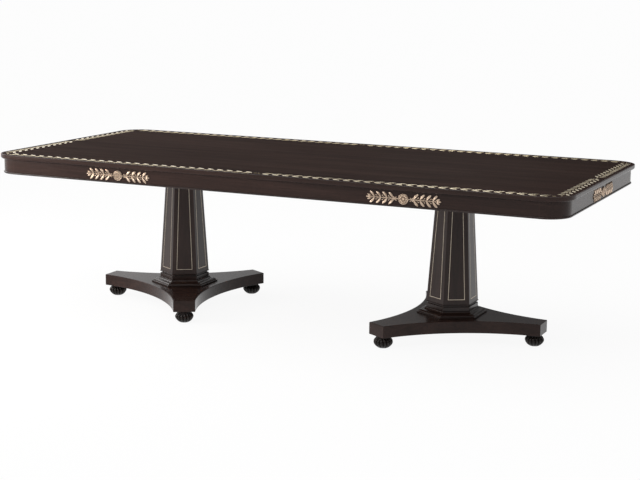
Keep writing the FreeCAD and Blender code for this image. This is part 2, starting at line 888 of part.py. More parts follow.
def rack(line, toward):
    """Rack of the left half beside a pinion on this line, with its teeth towards the pinion."""
    slope = math.tan(math.radians(pressure_angle))
    tip_half = tooth_pitch / 4 - tooth_backlash / 4 - addendum * slope
    root_half = tooth_pitch / 4 - tooth_backlash / 4 + dedendum * slope
    tip_y = line - toward * (pitch_radius - addendum)
    root_y = line - toward * (pitch_radius + dedendum)
    back_y = root_y - toward * rack_back
    start = -rack_margin
    teeth = int((runner_past_seam - start) / tooth_pitch)
    first = tooth_pitch / 2 - tooth_pitch * int(rack_margin / tooth_pitch)
    points = [Vector(start, back_y, rack_bottom), Vector(start, root_y, rack_bottom)]
    for tooth in range(teeth):
        middle = first + tooth * tooth_pitch
        points.append(Vector(middle - root_half, root_y, rack_bottom))
        points.append(Vector(middle - tip_half, tip_y, rack_bottom))
        points.append(Vector(middle + tip_half, tip_y, rack_bottom))
        points.append(Vector(middle + root_half, root_y, rack_bottom))
    points.append(Vector(runner_past_seam, root_y, rack_bottom))
    points.append(Vector(runner_past_seam, back_y, rack_bottom))
    return polygon_face(points).extrude(UP * rack_height)


def involute(angle):
    return math.tan(angle) - angle


def pinion(line):
    base_radius = pitch_radius * math.cos(math.radians(pressure_angle))
    tip_radius = pitch_radius + addendum
    root_radius = pitch_radius - dedendum
    half_tooth = (tooth_pitch / 4 - tooth_backlash / 4) / pitch_radius
    flank = [(root_radius, half_tooth + involute(math.radians(pressure_angle)))]
    for step in range(flank_steps + 1):
        radius = base_radius + (tip_radius - base_radius) * step / flank_steps
        lean = involute(math.acos(base_radius / radius))
        flank.append((radius, half_tooth + involute(math.radians(pressure_angle)) - lean))
    low = rack_bottom + pinion_gap
    points = []
    for tooth in range(pinion_teeth):
        middle = 2 * math.pi * tooth / pinion_teeth
        rising = [(radius, middle - angle) for radius, angle in flank]
        falling = [(radius, middle + angle) for radius, angle in reversed(flank)]
        for radius, angle in rising + falling:
            points.append(Vector(radius * math.cos(angle), radius * math.sin(angle), low))
    gear = polygon_face(points).extrude(UP * (rack_height - 2 * pinion_gap))
    gear.translate(Vector(0, line, 0))
    return gear.cut(rod(pinion_pin_radius + running_clearance, rack_bottom, runner_bottom, 0, line))


def pinion_pin(line):
    high = runner_bottom + pinion_pin_length
    head_size = (pinion_pin_head_radius, pinion_pin_head_height)
    return headed_pin(pinion_pin_radius, rack_bottom, high, head_size, (0, line))


def cross_tie(x):
    """Board across both middle runners, raised where it meets them."""
    reach = runner_place + runner_width / 2
    low = Vector(x - tie_width / 2, -reach, tie_top - tie_thickness)
    high = Vector(x + tie_width / 2, reach, tie_top)
    board = box(low, high)
    for side in (-1, 1):
        middle = side * runner_place
        seat_low = Vector(low.x, middle - runner_width / 2, tie_top)
        seat_high = Vector(high.x, middle + runner_width / 2, runner_bottom)
        board = board.fuse(box(seat_low, seat_high))
    return board.removeSplitter()


def cross_ties():
    place = tie_place_share * runner_past_seam
    return Part.makeCompound([cross_tie(-place), cross_tie(place)])


# Seam pins and swing hooks

def seam_pin_places():
    middle = (top_underside + veneer_underside) / 2
    return [Vector(0, share * half_width, middle) for share in seam_pin_shares]


def seam_pin(place, radius):
    start = place - LENGTHWISE * (seam_pin_length / 2)
    return Part.makeCylinder(radius, seam_pin_length, start, LENGTHWISE)


def seam_pins():
    return Part.makeCompound([seam_pin(place, seam_pin_radius) for place in seam_pin_places()])


def seam_holes(clearance):
    return Part.makeCompound([seam_pin(place, seam_pin_radius + clearance) for place in seam_pin_places()])


def hook_sector(inner, outer, start_angle, end_angle):
    centre = Vector(0, 0, hook_bottom)
    whole = Part.makeCylinder(outer, hook_thickness, centre, UP, end_angle - start_angle)
    hollow = Part.makeCylinder(inner, hook_thickness, centre, UP, end_angle - start_angle)
    sector = whole.cut(hollow)
    sector.rotate(ORIGIN, UP, start_angle)
    return sector


def hook():
    """Swing hook at rest along -Y; its slot opens the way it turns to meet the stud."""
    slot = hook_stud_radius + hook_slot_clearance
    slot_angle = math.degrees(math.asin(slot / hook_reach))
    inner = hook_reach - slot
    outer = hook_reach + slot
    arm_low = Vector(0, -hook_arm_width / 2, hook_bottom)
    arm_high = Vector(inner - slot, hook_arm_width / 2, hook_top)
    eye = rod(hook_arm_width / 2, hook_bottom, hook_top, 0, 0)
    rim = outer + hook_finger_width
    bridge = hook_sector(inner - hook_arm_width, rim, -slot_angle - hook_tail_angle, -slot_angle)
    finger = hook_sector(outer, rim, -slot_angle, hook_tip_angle)
    plate = box(arm_low, arm_high).fuse([eye, bridge, finger])
    plate = plate.cut(rod(hook_stud_radius + running_clearance, hook_bottom, hook_top, 0, 0))
    plate.rotate(ORIGIN, UP, -90)
    return plate


def placed_hook(side):
    piece = hook()
    piece.translate(Vector(-hook_pivot_setback, side * hook_place, 0))
    return piece


def hook_pin(x, side):
    high = top_underside + hook_screw_depth
    place = (x, side * hook_place)
    low = hook_bottom - running_clearance
    return headed_pin(hook_stud_radius, low, high, (hook_head_radius, hook_head_height), place)


def hook_pin_holes(x):
    high = top_underside + hook_screw_depth
    places = [(x, side * hook_place) for side in (-1, 1)]
    return Part.makeCompound(pin_holes(hook_stud_radius, top_underside, high, places))


# All pieces by name

def twin_pieces():
    """Pieces of the left half whose mirror images make up the right half."""
    front = front_apron()
    bare_mount = flat_mount()
    mount = front_mount(bare_mount)
    bare_foot = foot()
    outer_toe, front_toe, back_toe = toe_angles()
    return {
        "top_veneer": top_veneer(),
        "border_leaves": border_leaves(),
        "front_apron": front,
        "back_apron": to_back(front),
        "end_apron": end_apron(),
        "corner_aprons": corner_aprons(),
        "apron_bead": apron_bead(),
        "bearers": bearers(),
        "pedestal_plate": pedestal_plate(),
        "shaft_staves": shaft_staves(),
        "shaft_lines": shaft_lines(),
        "shaft_block": shaft_block(),
        "ogee_moulding": ogee_moulding(),
        "base_plate": base_plate(),
        "foot_outer": placed_foot(bare_foot, outer_toe),
        "foot_front": placed_foot(bare_foot, front_toe),
        "foot_back": placed_foot(bare_foot, back_toe),
        "tie_rod_set": tie_rod_set(),
        "front_mount": mount,
        "back_mount": to_back(mount),
        "end_mount": end_mount(bare_mount),
    }


def slide_pieces(toward):
    """Pieces that follow the runners, which lie outside the middle runner or inside it."""
    line = runner_place - toward * runner_step
    return {
        "top_panel": top_panel(line),
        "frame_screws": frame_screws(line),
        "runners": front_and_back(outer_runner(line, toward)),
        "racks": front_and_back(rack(runner_place, toward)),
    }


def table_pieces():
    pieces = {}
    twins = twin_pieces()
    for name, shape in list(twins.items()) + list(slide_pieces(-1).items()):
        pieces["left_" + name] = shape
    for name, shape in list(twins.items()) + list(slide_pieces(1).items()):
        pieces["right_" + name] = mirrored(shape)
    left_cuts = [seam_holes(0), hook_pin_holes(-hook_pivot_setback)]
    right_cuts = [seam_holes(seam_pin_clearance), hook_pin_holes(stud_x)]
    pieces["left_top_panel"] = pieces["left_top_panel"].cut(left_cuts)
    pieces["right_top_panel"] = pieces["right_top_panel"].cut(right_cuts)
    pieces["seam_pins"] = seam_pins()
    pieces["hook_pivots"] = Part.makeCompound([hook_pin(-hook_pivot_setback, side) for side in (-1, 1)])
    pieces["hook_studs"] = Part.makeCompound([hook_pin(stud_x, side) for side in (-1, 1)])
    pieces["front_hook"] = placed_hook(-1)
    pieces["back_hook"] = placed_hook(1)
    pieces["middle_runners"] = front_and_back(middle_runner(runner_place))
    pieces["cross_ties"] = cross_ties()
    pieces["front_pinion"] = pinion(-runner_place)
    pieces["back_pinion"] = pinion(runner_place)
    pieces["pinion_pins"] = Part.makeCompound([pinion_pin(-runner_place), pinion_pin(runner_place)])
    return pieces


os.makedirs("parts", exist_ok=True)
for name, shape in table_pieces().items():
    shape.exportStep("parts/" + name + ".step")
    print(name, "solids", len(shape.Solids), "volume", round(shape.Volume), "valid", shape.isValid())
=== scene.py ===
import json
import math

import bmesh
import bpy
from mathutils import Matrix, Vector

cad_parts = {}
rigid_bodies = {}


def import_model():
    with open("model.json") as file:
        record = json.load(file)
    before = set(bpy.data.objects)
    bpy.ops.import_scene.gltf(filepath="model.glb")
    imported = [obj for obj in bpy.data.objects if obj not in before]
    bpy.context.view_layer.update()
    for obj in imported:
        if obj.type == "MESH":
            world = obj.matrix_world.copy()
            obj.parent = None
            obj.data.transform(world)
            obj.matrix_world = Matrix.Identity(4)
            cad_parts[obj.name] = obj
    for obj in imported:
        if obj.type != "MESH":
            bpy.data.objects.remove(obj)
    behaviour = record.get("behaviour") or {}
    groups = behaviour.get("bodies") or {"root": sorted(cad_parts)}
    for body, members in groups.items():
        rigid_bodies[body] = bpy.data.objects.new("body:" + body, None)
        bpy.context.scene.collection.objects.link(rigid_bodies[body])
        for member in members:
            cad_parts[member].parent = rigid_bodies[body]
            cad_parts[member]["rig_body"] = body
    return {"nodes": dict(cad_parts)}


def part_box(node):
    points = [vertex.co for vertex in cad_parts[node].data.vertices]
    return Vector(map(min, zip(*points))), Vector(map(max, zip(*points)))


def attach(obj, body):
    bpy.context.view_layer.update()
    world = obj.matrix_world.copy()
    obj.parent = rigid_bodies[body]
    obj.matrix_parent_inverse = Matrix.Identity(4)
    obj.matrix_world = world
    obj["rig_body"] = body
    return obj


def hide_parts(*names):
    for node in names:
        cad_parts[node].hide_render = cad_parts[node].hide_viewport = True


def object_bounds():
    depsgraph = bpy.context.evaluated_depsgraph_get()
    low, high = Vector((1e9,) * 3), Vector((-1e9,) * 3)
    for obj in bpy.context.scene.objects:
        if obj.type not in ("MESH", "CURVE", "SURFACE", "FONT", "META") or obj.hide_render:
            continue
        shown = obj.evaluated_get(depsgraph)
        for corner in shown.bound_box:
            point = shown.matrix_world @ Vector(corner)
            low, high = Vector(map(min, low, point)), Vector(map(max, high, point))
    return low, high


# A long mahogany dining table on two pedestals, in metres.
# X runs along the table, -Y is its front and Z is up.
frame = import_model()
cad_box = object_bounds()
nodes = frame["nodes"]
sides = ("left", "right")

# Camera of the photograph, found from the table's edges, toes and feet
photo_width = 640
photo_focal_pixels = 1439.6
camera_sensor = 36.0
camera_place = Vector((2.8191, -5.9663, 1.6374))
camera_yaw = math.radians(25.0135)
camera_pitch = math.radians(10.8185)
camera_roll = math.radians(0.5682)
camera_far = 1000.0

# Floor
white = (1, 1, 1, 1)
floor_reach = 300.0
floor_paint = (0.9, 0.9, 0.9, 1)
floor_white_share = 0.92

# Room around the table: the stretch of a direction over which it changes, and its brightness
backdrop_white = 0.98
wall_turn = (-0.34, -0.56)
wall_levels = (0.15, 0.95)
front_turn = (0.1, 0.7)
front_levels = (1.27, 0.8)
back_turn = (0.15, 0.5)
back_level = 0.3
ceiling_turn = (0.2, 0.55)

# Lamps: place, target, width, height, brightness where 1 is white, colour, and if mirrors show it
neutral = (1.0, 1.0, 1.0)
warm = (1.0, 0.95, 0.9)
warmer = (1.0, 0.9, 0.8)
lamps = {
    "front_softbox": ((0.6, -3.6, 4.0), (0.0, 0.0, 0.5), 1.4, 1.4, 3.8, neutral, True),
    "left_softbox": ((-2.2, -1.5, 1.1), (-1.3, -0.6, 0.6), 0.9, 0.9, 10.0, warm, True),
    "low_softbox": ((-3.5, -2.0, 0.5), (0.0, 0.0, 0.35), 1.0, 0.6, 12.0, warmer, False),
    "high_softbox": ((-3.2, 0.7, 1.9), (-0.8, 0.0, 0.15), 1.0, 1.0, 4.0, neutral, True),
    "back_softbox": ((0.12, 1.6, 1.35), (0.12, -0.6, 0.76), 0.85, 0.45, 1.7, neutral, True),
    "end_softbox": ((0.85, 1.6, 1.2), (0.85, -0.6, 0.76), 0.6, 0.5, 0.4, neutral, True),
    "wall_softbox": ((-1.75, 1.6, 1.35), (-1.75, -0.6, 0.76), 2.9, 0.45, 0.8, neutral, True),
}

# Figure of the wood: stretch along and across the grain, then detail, roughness and distortion of
# the noise, then the stretch of it that shows
ribbon_stretch = (0.9, 11.0, 11.0)
ribbon_noise = (5.0, 0.58, 0.9)
ribbon_range = (0.32, 0.68)
streak_stretch = (5.0, 170.0, 170.0)
streak_noise = (4.0, 0.6, 0.3)
streak_range = (0.3, 0.7)
pore_stretch = (55.0, 1500.0, 1500.0)
pore_detail = 1.0
pore_range = (0.60, 0.70)

# Polish: smears from wiping and waves from the brush
smear_scale = 6.0
smear_noise = (4.0, 0.6, 0.6)
smear_strength = 0.06
smear_middle = 0.5
wave_scale = 260.0
wave_detail = 2.0

# Arrises lightened as wear and as painted highlights, and hollows darkened as dark wax and as painted
# shade
arris_samples = 4
arris_range = (0.01, 0.22)
arris_patch_scale = 38.0
arris_patch_noise = (3.0, 0.6)
arris_patch_range = (0.3, 0.7, 0.35, 1.0)
wax_shade_samples = 6
wax_shade_range = (0.35, 0.9, 1.0, 0.0)

# Tone of metals
tarnish_scale = 120.0
tarnish_noise = (4.0, 0.6, 0.4)
tarnish_range = (0.35, 0.75)
scratch_stretch = (0.06, 1.0, 1.0)
scratch_scale = 900.0
scratch_detail = 2.0

# Mahogany: share of each effect in the colour, then strength and depth of the relief
mahogany_streak_share = 0.45
mahogany_pore_share = 0.5
mahogany_arris_share = 0.6
mahogany_arris_width = 0.0016
mahogany_dark_share = 0.45
mahogany_worn_lit_share = 1.9
mahogany_pit_share = 0.6
mahogany_relief = (0.12, 0.0004)

# Plain hardwood, the same way
hardwood_deep = (0.30, 0.175, 0.088, 1)
hardwood_pale = (0.46, 0.29, 0.155, 1)
hardwood_streak = (0.20, 0.11, 0.05, 1)
hardwood_pore = (0.11, 0.06, 0.03, 1)
hardwood_worn = (0.55, 0.38, 0.22, 1)
hardwood_ribbon = 1.6
hardwood_streak_share = 0.5
hardwood_pore_share = 0.6
hardwood_arris_share = 0.4
hardwood_arris_width = 0.002
hardwood_roughness = (0.55, 0.72)
hardwood_specular = 0.35
hardwood_relief = (0.2, 0.0005)

# Metals, the same way
metal_tarnish_share = 0.6
metal_arris_share = 0.5
metal_arris_width = 0.0012
metal_wax_shade_share = 0.85
metal_smoother = 0.06
metal_rougher = 0.08
metal_hollow_rougher = 0.3
metal_hollow_metallic = 0.25
metal_lacquer_roughness = 0.12
metal_relief = (0.06, 0.0003)

# Mahogany finishes: material, grain, deep and ruddy colour, roughness, specular level, ribbon scale
top_tones = ((0.022, 0.0125, 0.0102, 1), (0.041, 0.0235, 0.019, 1))
wood_tones = ((0.022, 0.0115, 0.0092, 1), (0.043, 0.0225, 0.018, 1))
moulding_tones = ((0.017, 0.0095, 0.0078, 1), (0.034, 0.0185, 0.015, 1))
foot_tones = ((0.010, 0.0068, 0.0058, 1), (0.020, 0.0125, 0.0105, 1))
mahogany_finishes = {
    "top": ("top_mahogany", "X", *top_tones, 0.7, 0.012, 1.0),
    "top edge": ("edge_mahogany", "X", *wood_tones, 0.22, 0.17, 1.0),
    "along": ("apron_mahogany", "X", *wood_tones, 0.22, 0.17, 1.0),
    "across": ("end_mahogany", "Y", *wood_tones, 0.22, 0.17, 1.0),
    "upright": ("shaft_mahogany", "Z", *wood_tones, 0.3, 0.3, 1.4),
    "base": ("base_mahogany", "X", *wood_tones, 0.2, 0.17, 1.4),
    "moulding": ("moulding_mahogany", "X", *moulding_tones, 0.22, 0.28, 1.4),
    "foot": ("foot_mahogany", "Z", *foot_tones, 0.1, 0.2, 1.6),
}
hardwood_finishes = {
    "frame along": ("frame_hardwood_along", "X"),
    "frame across": ("frame_hardwood_across", "Y"),
}
# Metal finishes: material, bright and dull colour, colour of the hollows (dark wax and painted
# shade), roughness, depth of the hollow mask, lacquer
# Colours of the hollows: dark wax, and painted shade where light is blocked
brass_wax_shade = (0.05, 0.03, 0.02, 1)
gilding_wax_shade = (0.05, 0.026, 0.015, 1)
fitting_wax_shade = (0.06, 0.04, 0.02, 1)
steel_wax_shade = (0.05, 0.04, 0.035, 1)
inlay_tones = ((0.89, 0.69, 0.30, 1), (0.67, 0.48, 0.17, 1))
line_tones = ((0.60, 0.52, 0.42, 1), (0.42, 0.35, 0.27, 1))
gilding_tones = ((0.79, 0.62, 0.48, 1), (0.37, 0.25, 0.165, 1))
fitting_tones = ((0.74, 0.58, 0.30, 1), (0.52, 0.38, 0.18, 1))
steel_tones = ((0.58, 0.58, 0.58, 1), (0.42, 0.41, 0.40, 1))
metal_finishes = {
    "inlay": ("inlay_brass", *inlay_tones, brass_wax_shade, 0.22, 0.0012, 0.6),
    "line": ("line_brass", *line_tones, brass_wax_shade, 0.4, 0.001, 0.0),
    "gilding": ("mount_gilding", *gilding_tones, gilding_wax_shade, 0.24, 0.008, 0.0),
    "fitting": ("fitting_brass", *fitting_tones, fitting_wax_shade, 0.3, 0.004, 0.0),
    "steel": ("plain_steel", *steel_tones, steel_wax_shade, 0.36, 0.004, 0.0),
}

# Finish of the pieces shown as CAD made them
cad_finishes = {
    "end_apron": "across", "corner_aprons": "along", "shaft_lines": "line",
    "frame_screws": "steel", "tie_rod_set": "steel", "racks": "steel",
    "seam_pins": "fitting", "hook_pivots": "fitting", "hook_studs": "fitting",
    "front_hook": "fitting", "back_hook": "fitting",
    "front_pinion": "steel", "back_pinion": "steel", "pinion_pins": "steel",
}
# Finish of the pieces that meet at the seam, and how far from the middle their seam faces lie at most
seam_reach = 0.0005
seam_pieces = {
    "top_panel": "top edge", "top_veneer": "top",
    "front_apron": "along", "back_apron": "along", "apron_bead": "moulding",
}
# Finish and arris width of the wooden pieces with rounded arrises
eased_pieces = {
    "shaft_staves": ("upright", 0.0006), "shaft_block": ("moulding", 0.0014),
    "ogee_moulding": ("moulding", 0.0014), "base_plate": ("base", 0.0009),
    "bearers": ("frame across", 0.0012), "pedestal_plate": ("frame across", 0.0015),
    "runners": ("frame along", 0.0008), "middle_runners": ("frame along", 0.0008),
    "cross_ties": ("frame across", 0.0012),
}
arris_segments = 2
arris_profile = 0.5
arris_angle = math.radians(24.0)
flat_angle = math.radians(0.5)
eased_sharp_angle = math.radians(35.0)
weld_distance = 1e-6
fine_weld_distance = 1e-7

# Carved feet: height and radius up the bun, with the depth of the grooves, and up the neck
foot_lobes = 16
foot_turns = 192
foot_groove_share = 0.19
foot_lobe_power = 0.7
foot_sharp_angle = math.radians(55.0)
bun_shares = [
    (0.0, 0.36, 1.5), (0.015, 0.43, 1.5), (0.05, 0.535, 1.4), (0.10, 0.645, 1.3), (0.17, 0.76, 1.2),
    (0.25, 0.855, 1.1), (0.34, 0.935, 1.0), (0.42, 0.98, 1.0), (0.49, 1.0, 1.0), (0.57, 0.99, 1.0),
    (0.64, 0.955, 0.95), (0.71, 0.90, 0.85), (0.77, 0.835, 0.65), (0.81, 0.785, 0.35),
    (0.835, 0.755, 0.0),
]
neck_shares = [
    (0.84, 0.69, 0.0), (0.86, 0.69, 0.0), (0.87, 0.74, 0.0), (0.90, 0.76, 0.0), (0.93, 0.74, 0.0),
    (0.94, 0.70, 0.0), (1.0, 0.72, 0.0),
]

# Gilt mounts: relief of a cast leaf, as shares of its length, width and rise
mount_sharp_angle = math.radians(50.0)
leaf_rows = 14
leaf_columns = 10
leaf_root_power = 0.75
leaf_tip_power = 0.55
leaf_widest_share = 0.6
leaf_root_share = 0.22
leaf_root_end_share = 0.2
leaf_rim_share = 0.3
leaf_swell_powers = (1.25, 0.6)
leaf_crown_power = 0.8
midrib_width_share = 0.17
midrib_depth_share = 0.5
vein_count = 5
vein_slant = 1.3
vein_depth_share = 0.12
# Laurel spray
leaf_pairs = 4
leaf_length = 0.0325
leaf_width = 0.0108
leaf_bend = (math.radians(66), math.radians(30))
leaf_reach = leaf_length * math.cos(math.radians(48))
spray_rise = 0.0052
first_leaf_tip = 0.066
last_leaf_tip = 0.149
tip_length = 0.020
tip_width = 0.0080
tip_side_share = 0.9
tip_bend = (math.radians(52), math.radians(24))
bow_place = 0.0148
bow_length = 0.0118
bow_width = 0.0056
bow_bend = (math.radians(58), math.radians(38))
bow_knot_share = 1.3
stem_radius = 0.0021
stem_start_share = 0.94
stem_taper_shares = (1.1, 0.75)
stem_rise_share = 0.7
stem_turns = 8
berry_place = 0.0088
berry_radius = 0.0028
berry_along_share = 0.95
berry_stalk_start_share = 0.4
berry_stalk_shares = (0.5, 0.4)
berry_stalk_rise_share = 0.4
ball_turns = 14
ball_rows = 5
# Rosette, as shares of its radius; a ring has its middle, half its width and its height
rosette_radius = 0.0225
rosette_rows = 46
rosette_turns = 120
rosette_ground_share = 0.08
rosette_ring_shares = ((0.92, 0.075, 0.14), (0.315, 0.045, 0.1))
rosette_petals = 12
petal_start_share = 0.36
petal_end_share = 0.83
petal_height_share = 0.21
petal_swell_powers = (0.8, 0.7)
petal_fold_power = 0.6
petal_rib_share = 0.25
petal_rib_width_share = 0.05
boss_share = 0.26
boss_height_share = 0.24
boss_lobes = 7
boss_lobe_share = 0.1
boss_smooth_share = 0.13

# Inlaid border: a berry's rings have their radius and lift, or None at the bottom
inlay_rows = 10
inlay_columns = 8
inlay_crown = 0.0007
inlay_groove = 0.0003
inlay_sharp_angle = math.radians(40.0)
inlay_berry_turns = 14
inlay_berry_shares = ((1.0, None), (1.0, 0.0), (0.75, 0.6), (0.4, 1.0))
inlay_round_share = 0.8
inlay_band = 0.12
sorting_digits = 4


# Node trees

def node(tree, kind, links=None, **settings):
    """Adds a shader node, sets its options, and links or sets its inputs by name or number."""
    made = tree.nodes.new("ShaderNode" + kind)
    for name, value in settings.items():
        setattr(made, name, value)
    for name, value in (links or {}).items():
        socket = made.inputs[name]
        if isinstance(value, bpy.types.NodeSocket):
            tree.links.new(value, socket)
        else:
            socket.default_value = value
    return made


def maths(tree, operation, first, second, clamp=False):
    made = node(tree, "Math", {0: first, 1: second}, operation=operation, use_clamp=clamp)
    return made.outputs[0]


def part_of(tree, share, value):
    return maths(tree, "MULTIPLY", value, share)


def spread(tree, value, low, high, to_low=0.0, to_high=1.0):
    """Maps the stretch from low to high onto another stretch, and holds it there."""
    links = {
        "Value": value, "From Min": low, "From Max": high, "To Min": to_low, "To Max": to_high,
    }
    return node(tree, "MapRange", links).outputs["Result"]


def blend(tree, share, first, second):
    made = node(tree, "Mix", {0: share, 6: first, 7: second}, data_type="RGBA")
    return made.outputs[2]


def stretched(tree, place, scale):
    made = node(tree, "VectorMath", {0: place, 1: scale}, operation="MULTIPLY")
    return made.outputs["Vector"]


def noise(tree, place, scale, detail, roughness=0.5, distortion=0.0):
    links = {
        "Vector": place, "Scale": scale, "Detail": detail, "Roughness": roughness,
        "Distortion": distortion,
    }
    return node(tree, "TexNoise", links).outputs["Fac"]


def effect_group(name, takes, gives):
    """A shader node group and its two ends. It takes places, given as None, and plain values."""
    group = bpy.data.node_groups.new(name, "ShaderNodeTree")
    for socket, value in takes.items():
        kind = "NodeSocketVector" if value is None else "NodeSocketFloat"
        made = group.interface.new_socket(socket, in_out="INPUT", socket_type=kind)
        if value is not None:
            made.default_value = value
    for socket in gives:
        group.interface.new_socket(socket, in_out="OUTPUT", socket_type="NodeSocketFloat")
    start = group.nodes.new("NodeGroupInput")
    end = group.nodes.new("NodeGroupOutput")
    return group, start.outputs, end.inputs


def wood_figure():
    """Broad ribbons, fine streaks and open pores, with the grain along the first axis of Place."""
    takes = {"Place": None, "Ribbon": 1.0}
    group, start, end = effect_group("wood_figure", takes, ["Figure", "Grain", "Pores"])
    broad = stretched(group, start["Place"], ribbon_stretch)
    ribbons = noise(group, broad, start["Ribbon"], *ribbon_noise)
    fine = stretched(group, start["Place"], streak_stretch)
    streaks = noise(group, fine, 1.0, *streak_noise)
    finest = stretched(group, start["Place"], pore_stretch)
    pores = noise(group, finest, 1.0, pore_detail)
    group.links.new(spread(group, ribbons, *ribbon_range), end["Figure"])
    group.links.new(spread(group, streaks, *streak_range), end["Grain"])
    group.links.new(spread(group, pores, *pore_range), end["Pores"])
    return group


def polish():
    """Roughness with faint smears from wiping, and the slight waves of a brushed finish."""
    takes = {"Place": None, "Roughness": 0.0}
    group, start, end = effect_group("polish", takes, ["Roughness", "Height"])
    cloudy = noise(group, start["Place"], smear_scale, *smear_noise)
    swing = maths(group, "SUBTRACT", cloudy, smear_middle)
    smears = part_of(group, smear_strength, swing)
    group.links.new(maths(group, "ADD", start["Roughness"], smears, True), end["Roughness"])
    group.links.new(noise(group, start["Place"], wave_scale, wave_detail), end["Height"])
    return group


def arris_wear_and_highlight():
    """Mask along arrises in patches, where the rounded normal leaves the flat one: worn edges, and
    painted highlights where light catches them.
    """
    group, start, end = effect_group("arris_wear_and_highlight", {"Width": 0.0}, ["Rub"])
    rounded = node(group, "Bevel", {"Radius": start["Width"]}, samples=arris_samples).outputs["Normal"]
    flat = node(group, "NewGeometry").outputs["Normal"]
    both = node(group, "VectorMath", {0: rounded, 1: flat}, operation="DOT_PRODUCT")
    bend = maths(group, "SUBTRACT", 1.0, both.outputs["Value"])
    place = node(group, "TexCoord").outputs["Object"]
    cloudy = noise(group, place, arris_patch_scale, *arris_patch_noise)
    patches = spread(group, cloudy, *arris_patch_range)
    arris_mask = maths(group, "MULTIPLY", spread(group, bend, *arris_range), patches)
    group.links.new(arris_mask, end["Rub"])
    return group


def recess_wax_and_shade():
    """Mask of hollows, found by ambient occlusion: dark wax left there, and painted shade where light
    is blocked.
    """
    group, start, end = effect_group("recess_wax_and_shade", {"Depth": 0.0}, ["Dirt"])
    around = node(group, "AmbientOcclusion", {"Distance": start["Depth"]}, samples=wax_shade_samples)
    group.links.new(spread(group, around.outputs["AO"], *wax_shade_range), end["Dirt"])
    return group


def metal_tone():
    """Cloudy tarnish and fine scratches."""
    group, start, end = effect_group("metal_tone", {"Place": None}, ["Tarnish", "Scratches"])
    cloudy = noise(group, start["Place"], tarnish_scale, *tarnish_noise)
    lines = stretched(group, start["Place"], scratch_stretch)
    group.links.new(spread(group, cloudy, *tarnish_range), end["Tarnish"])
    group.links.new(noise(group, lines, scratch_scale, scratch_detail), end["Scratches"])
    return group


effects = (wood_figure(), polish(), arris_wear_and_highlight(), recess_wax_and_shade(), metal_tone())
groups = {made.name: made for made in effects}


def effect(tree, name, **inputs):
    return node(tree, "Group", inputs, node_tree=groups[name]).outputs


# Materials

def new_material(name):
    material = bpy.data.materials.new(name)
    material.use_nodes = True
    tree = material.node_tree
    return material, tree, tree.nodes["Principled BSDF"]


def along_grain(tree, axis):
    """Object coordinates turned so that the grain runs along the first axis."""
    place = node(tree, "TexCoord").outputs["Object"]
    parts = node(tree, "SeparateXYZ", {0: place}).outputs
    order = {"X": "XYZ", "Y": "YXZ", "Z": "ZXY"}[axis]
    turned = {to: parts[source] for to, source in zip("XYZ", order)}
    return node(tree, "CombineXYZ", turned).outputs[0]


def tinted(colour, share):
    return tuple(share * part for part in colour[:3]) + (1.0,)


def bumped(tree, shader, height, strength, distance):
    links = {"Height": height, "Strength": strength, "Distance": distance}
    tree.links.new(node(tree, "Bump", links).outputs["Normal"], shader.inputs["Normal"])


def mahogany(name, axis, deep, ruddy, roughness, specular, ribbon):
    """Dark stained mahogany under lacquer."""
    material, tree, shader = new_material(name)
    place = along_grain(tree, axis)
    figure = effect(tree, "wood_figure", Place=place, Ribbon=ribbon)
    finish = effect(tree, "polish", Place=place, Roughness=roughness)
    arris_mask = effect(tree, "arris_wear_and_highlight", Width=mahogany_arris_width)["Rub"]
    dark = tinted(deep, mahogany_dark_share)
    worn_and_lit = tinted(ruddy, mahogany_worn_lit_share)
    colour = blend(tree, figure["Figure"], deep, ruddy)
    colour = blend(tree, part_of(tree, mahogany_streak_share, figure["Grain"]), colour, dark)
    colour = blend(tree, part_of(tree, mahogany_pore_share, figure["Pores"]), colour, dark)
    # Painted highlight: the arrises lighten to a paler ruddy tone, both for wear and for the light
    # they catch
    colour = blend(tree, part_of(tree, mahogany_arris_share, arris_mask), colour, worn_and_lit)
    tree.links.new(colour, shader.inputs["Base Color"])
    tree.links.new(finish["Roughness"], shader.inputs["Roughness"])
    shader.inputs["Specular IOR Level"].default_value = specular
    pits = part_of(tree, mahogany_pit_share, figure["Pores"])
    bumped(tree, shader, maths(tree, "SUBTRACT", finish["Height"], pits), *mahogany_relief)
    return material


def plain_hardwood(name, axis):
    """Planed hardwood of the frame under the top, without lacquer."""
    material, tree, shader = new_material(name)
    place = along_grain(tree, axis)
    figure = effect(tree, "wood_figure", Place=place, Ribbon=hardwood_ribbon)
    arris_mask = effect(tree, "arris_wear_and_highlight", Width=hardwood_arris_width)["Rub"]
    streaks = part_of(tree, hardwood_streak_share, figure["Grain"])
    pores = part_of(tree, hardwood_pore_share, figure["Pores"])
    colour = blend(tree, figure["Figure"], hardwood_deep, hardwood_pale)
    colour = blend(tree, streaks, colour, hardwood_streak)
    colour = blend(tree, pores, colour, hardwood_pore)
    colour = blend(tree, part_of(tree, hardwood_arris_share, arris_mask), colour, hardwood_worn)
    tree.links.new(colour, shader.inputs["Base Color"])
    rough = spread(tree, figure["Grain"], 0.0, 1.0, *hardwood_roughness)
    tree.links.new(rough, shader.inputs["Roughness"])
    shader.inputs["Specular IOR Level"].default_value = hardwood_specular
    bumped(tree, shader, figure["Grain"], *hardwood_relief)
    return material


